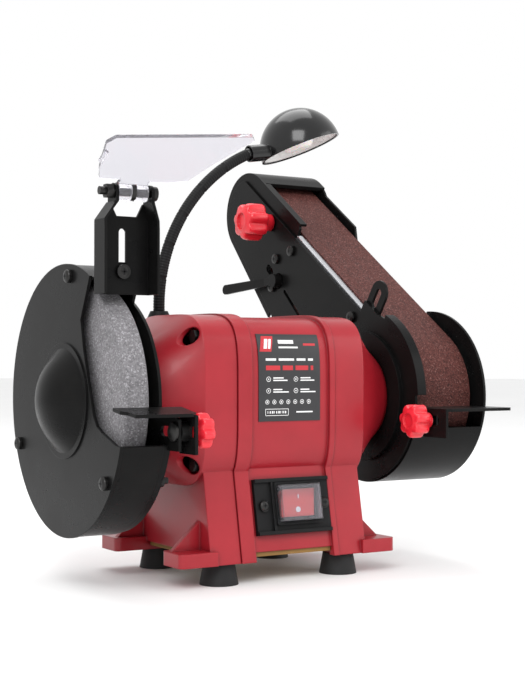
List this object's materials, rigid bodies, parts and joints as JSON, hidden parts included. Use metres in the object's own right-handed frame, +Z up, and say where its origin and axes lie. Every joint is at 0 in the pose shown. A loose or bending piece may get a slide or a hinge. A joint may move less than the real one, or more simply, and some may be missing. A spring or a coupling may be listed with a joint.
{
  "type": "bench grinder",
  "caption": "Bench grinder with a guarded grinding wheel and eye shield on the left, a tilted belt sander on the right, tool rests, a front rocker switch and a gooseneck work lamp.",
  "frame": {"origin": "centre of the four rubber feet, on the bench", "axes": "+X along the shaft towards the belt, -Y towards the user, +Z up"},
  "size_m": [0.3134, 0.311, 0.3284],
  "materials": {
    "red_paint": "satin cast paint",
    "black_steel": "satin black powder coat",
    "bright_steel": "bright",
    "dark_steel": "machined",
    "core_steel": "laminated",
    "copper": "enamelled wire",
    "can": "drawn",
    "rubber": "matte",
    "black_plastic": "fine texture",
    "gloss_black": "gloss",
    "red_plastic": "satin gloss",
    "rocker_red": "translucent",
    "clear_plastic": "clear",
    "label": "printed film",
    "stone": "coarse grit",
    "abrasive": "abrasive cloth",
    "platen_steel": "brushed",
    "aluminium": "turned",
    "bulb_white": "frosted",
    "cover_plate": "pressed board"
  },
  "bodies": {
    "stand": {"left_bell": "red_paint", "center_housing": "red_paint", "right_bell": "red_paint", "base_cover": "cover_plate", "rubber_feet": "rubber", "foot_screws": "bright_steel", "stator_core": "core_steel", "stator_windings": "copper", "bearings": "bright_steel", "tie_screws": "dark_steel", "run_capacitor": "can", "rating_label": "label", "switch_plate": "black_plastic", "switch_body": "black_plastic", "switch_cover": "clear_plastic", "switch_screws": "dark_steel", "cord_inlet": "black_plastic", "wheel_guard": "black_steel", "guard_cover": "black_steel", "guard_screws": "dark_steel", "mounting_screws": "dark_steel", "belt_plate": "black_steel", "drum_guard": "black_steel", "platen": "platen_steel", "top_cover": "black_steel", "fork_guide": "dark_steel", "tension_spring": "bright_steel", "arm_screws": "dark_steel", "right_rest_bolt": "dark_steel", "sanding_belt": "abrasive", "lamp_base": "black_plastic", "bracket_screw": "dark_steel"},
    "rotor": {"motor_shaft": "bright_steel", "rotor_core": "core_steel", "grinding_wheel": "stone", "wheel_flanges": "dark_steel", "arbor_nuts": "bright_steel", "drive_drum": "aluminium"},
    "left_table": {"left_rest": "black_steel", "left_rest_bolt": "dark_steel"},
    "left_knob": {"left_rest_knob": "red_plastic"},
    "right_table": {"right_rest": "black_steel"},
    "right_knob": {"right_rest_knob": "red_plastic"},
    "bracket": {"shield_bracket": "black_steel", "shield_pin": "dark_steel"},
    "shield": {"eye_shield": "clear_plastic"},
    "fork": {"idler_fork": "dark_steel"},
    "axle": {"idler_axle": "bright_steel"},
    "idler": {"idler_drum": "aluminium"},
    "lever": {"tension_lever": "black_steel"},
    "tracking": {"tracking_knob": "red_plastic"},
    "rocker": {"switch_rocker": "rocker_red"},
    "lamp_head": {"lamp_shade": "gloss_black", "lamp_bulb": "bulb_white"},
    "neck_1": {"gooseneck_1": "black_plastic"},
    "neck_2": {"gooseneck_2": "black_plastic"},
    "neck_3": {"gooseneck_3": "black_plastic"},
    "neck_4": {"gooseneck_4": "black_plastic"},
    "neck_5": {"gooseneck_5": "black_plastic"},
    "neck_6": {"gooseneck_6": "black_plastic"}
  },
  "joints": [
    {"name": "rotor_spin", "type": "hinge", "parent": "stand", "child": "rotor", "pos_m": [0, 0, 0.118], "axis": [1, 0, 0], "continuous": true},
    {"name": "left_table_slide", "type": "slide", "parent": "stand", "child": "left_table", "axis": [0, 1, 0], "range_m": [-0.0008, 0.0025]},
    {"name": "left_knob_turn", "type": "hinge", "parent": "left_table", "child": "left_knob", "pos_m": [-0.087, -0.09, 0.1015], "axis": [1, 0, 0], "continuous": true},
    {"name": "right_table_slide", "type": "slide", "parent": "stand", "child": "right_table", "axis": [0, 1, 0], "range_m": [-0.003, 0.0025]},
    {"name": "right_knob_turn", "type": "hinge", "parent": "stand", "child": "right_knob", "pos_m": [0.087, -0.079, 0.1034], "axis": [1, 0, 0], "continuous": true},
    {"name": "bracket_slide", "type": "slide", "parent": "stand", "child": "bracket", "axis": [0, 0, 1], "range_m": [-0.006, 0]},
    {"name": "shield_tilt", "type": "hinge", "parent": "bracket", "child": "shield", "pos_m": [-0.117, -0.057, 0.246], "axis": [1, 0, 0], "range_deg": [-45, 25]},
    {"name": "lever_turn", "type": "hinge", "parent": "stand", "child": "lever", "pos_m": [0.093, 0.11499, 0.20699], "axis": [1, 0, 0], "range_deg": [-50, 0]},
    {"name": "fork_slide", "type": "slide", "parent": "stand", "child": "fork", "axis": [0, 0.7503, 0.6611], "range_m": [-0.004, 0]},
    {"name": "tracking_turn", "type": "hinge", "parent": "stand", "child": "tracking", "pos_m": [0.085, 0.12642, 0.25443], "axis": [1, 0, 0], "range_deg": [-180, 180]},
    {"name": "axle_tilt", "type": "hinge", "parent": "fork", "child": "axle", "pos_m": [0.1308, 0.16762, 0.26569], "axis": [0, 0.7503, 0.6611], "range_deg": [-0.5, 0.5]},
    {"name": "idler_spin", "type": "hinge", "parent": "axle", "child": "idler", "pos_m": [0.1308, 0.16762, 0.26569], "axis": [1, 0, 0], "continuous": true},
    {"name": "rocker_tilt", "type": "hinge", "parent": "stand", "child": "rocker", "pos_m": [0.007, -0.04907, 0.04947], "axis": [1, 0, 0], "range_deg": [-14, 0]},
    {"name": "neck_1_bend", "type": "hinge", "parent": "stand", "child": "neck_1", "pos_m": [-0.0525, 0.03, 0.1775], "axis": [0, 1, 0], "range_deg": [-10, 3]},
    {"name": "neck_2_bend", "type": "hinge", "parent": "neck_1", "child": "neck_2", "pos_m": [-0.05084, 0.03, 0.20124], "axis": [-0.9646, 0, 0.2639], "range_deg": [-10, 10]},
    {"name": "neck_3_bend", "type": "hinge", "parent": "neck_2", "child": "neck_3", "pos_m": [-0.04456, 0.03, 0.2242], "axis": [0, 1, 0], "range_deg": [-10, 3]},
    {"name": "neck_4_bend", "type": "hinge", "parent": "neck_3", "child": "neck_4", "pos_m": [-0.0339, 0.03, 0.24548], "axis": [-0.7891, 0, 0.6143], "range_deg": [-10, 10]},
    {"name": "neck_5_bend", "type": "hinge", "parent": "neck_4", "child": "neck_5", "pos_m": [-0.01928, 0.03, 0.26426], "axis": [0, 1, 0], "range_deg": [-10, 3]},
    {"name": "neck_6_bend", "type": "hinge", "parent": "neck_5", "child": "neck_6", "pos_m": [-0.00127, 0.03, 0.27981], "axis": [-0.4924, 0, 0.8704], "range_deg": [-10, 10]},
    {"name": "lamp_tilt", "type": "hinge", "parent": "neck_6", "child": "lamp_head", "pos_m": [0.01945, 0.03, 0.29153], "axis": [0, 1, 0], "range_deg": [-15, 5]}
  ],
  "couplings": [
    {"joint": "idler_spin", "follows": "rotor_spin", "ratio": 2.1191},
    {"joint": "lever_turn", "follows": "fork_slide", "rad_per_m": 217.95},
    {"joint": "axle_tilt", "follows": "tracking_turn", "ratio": 0.002775}
  ]
}
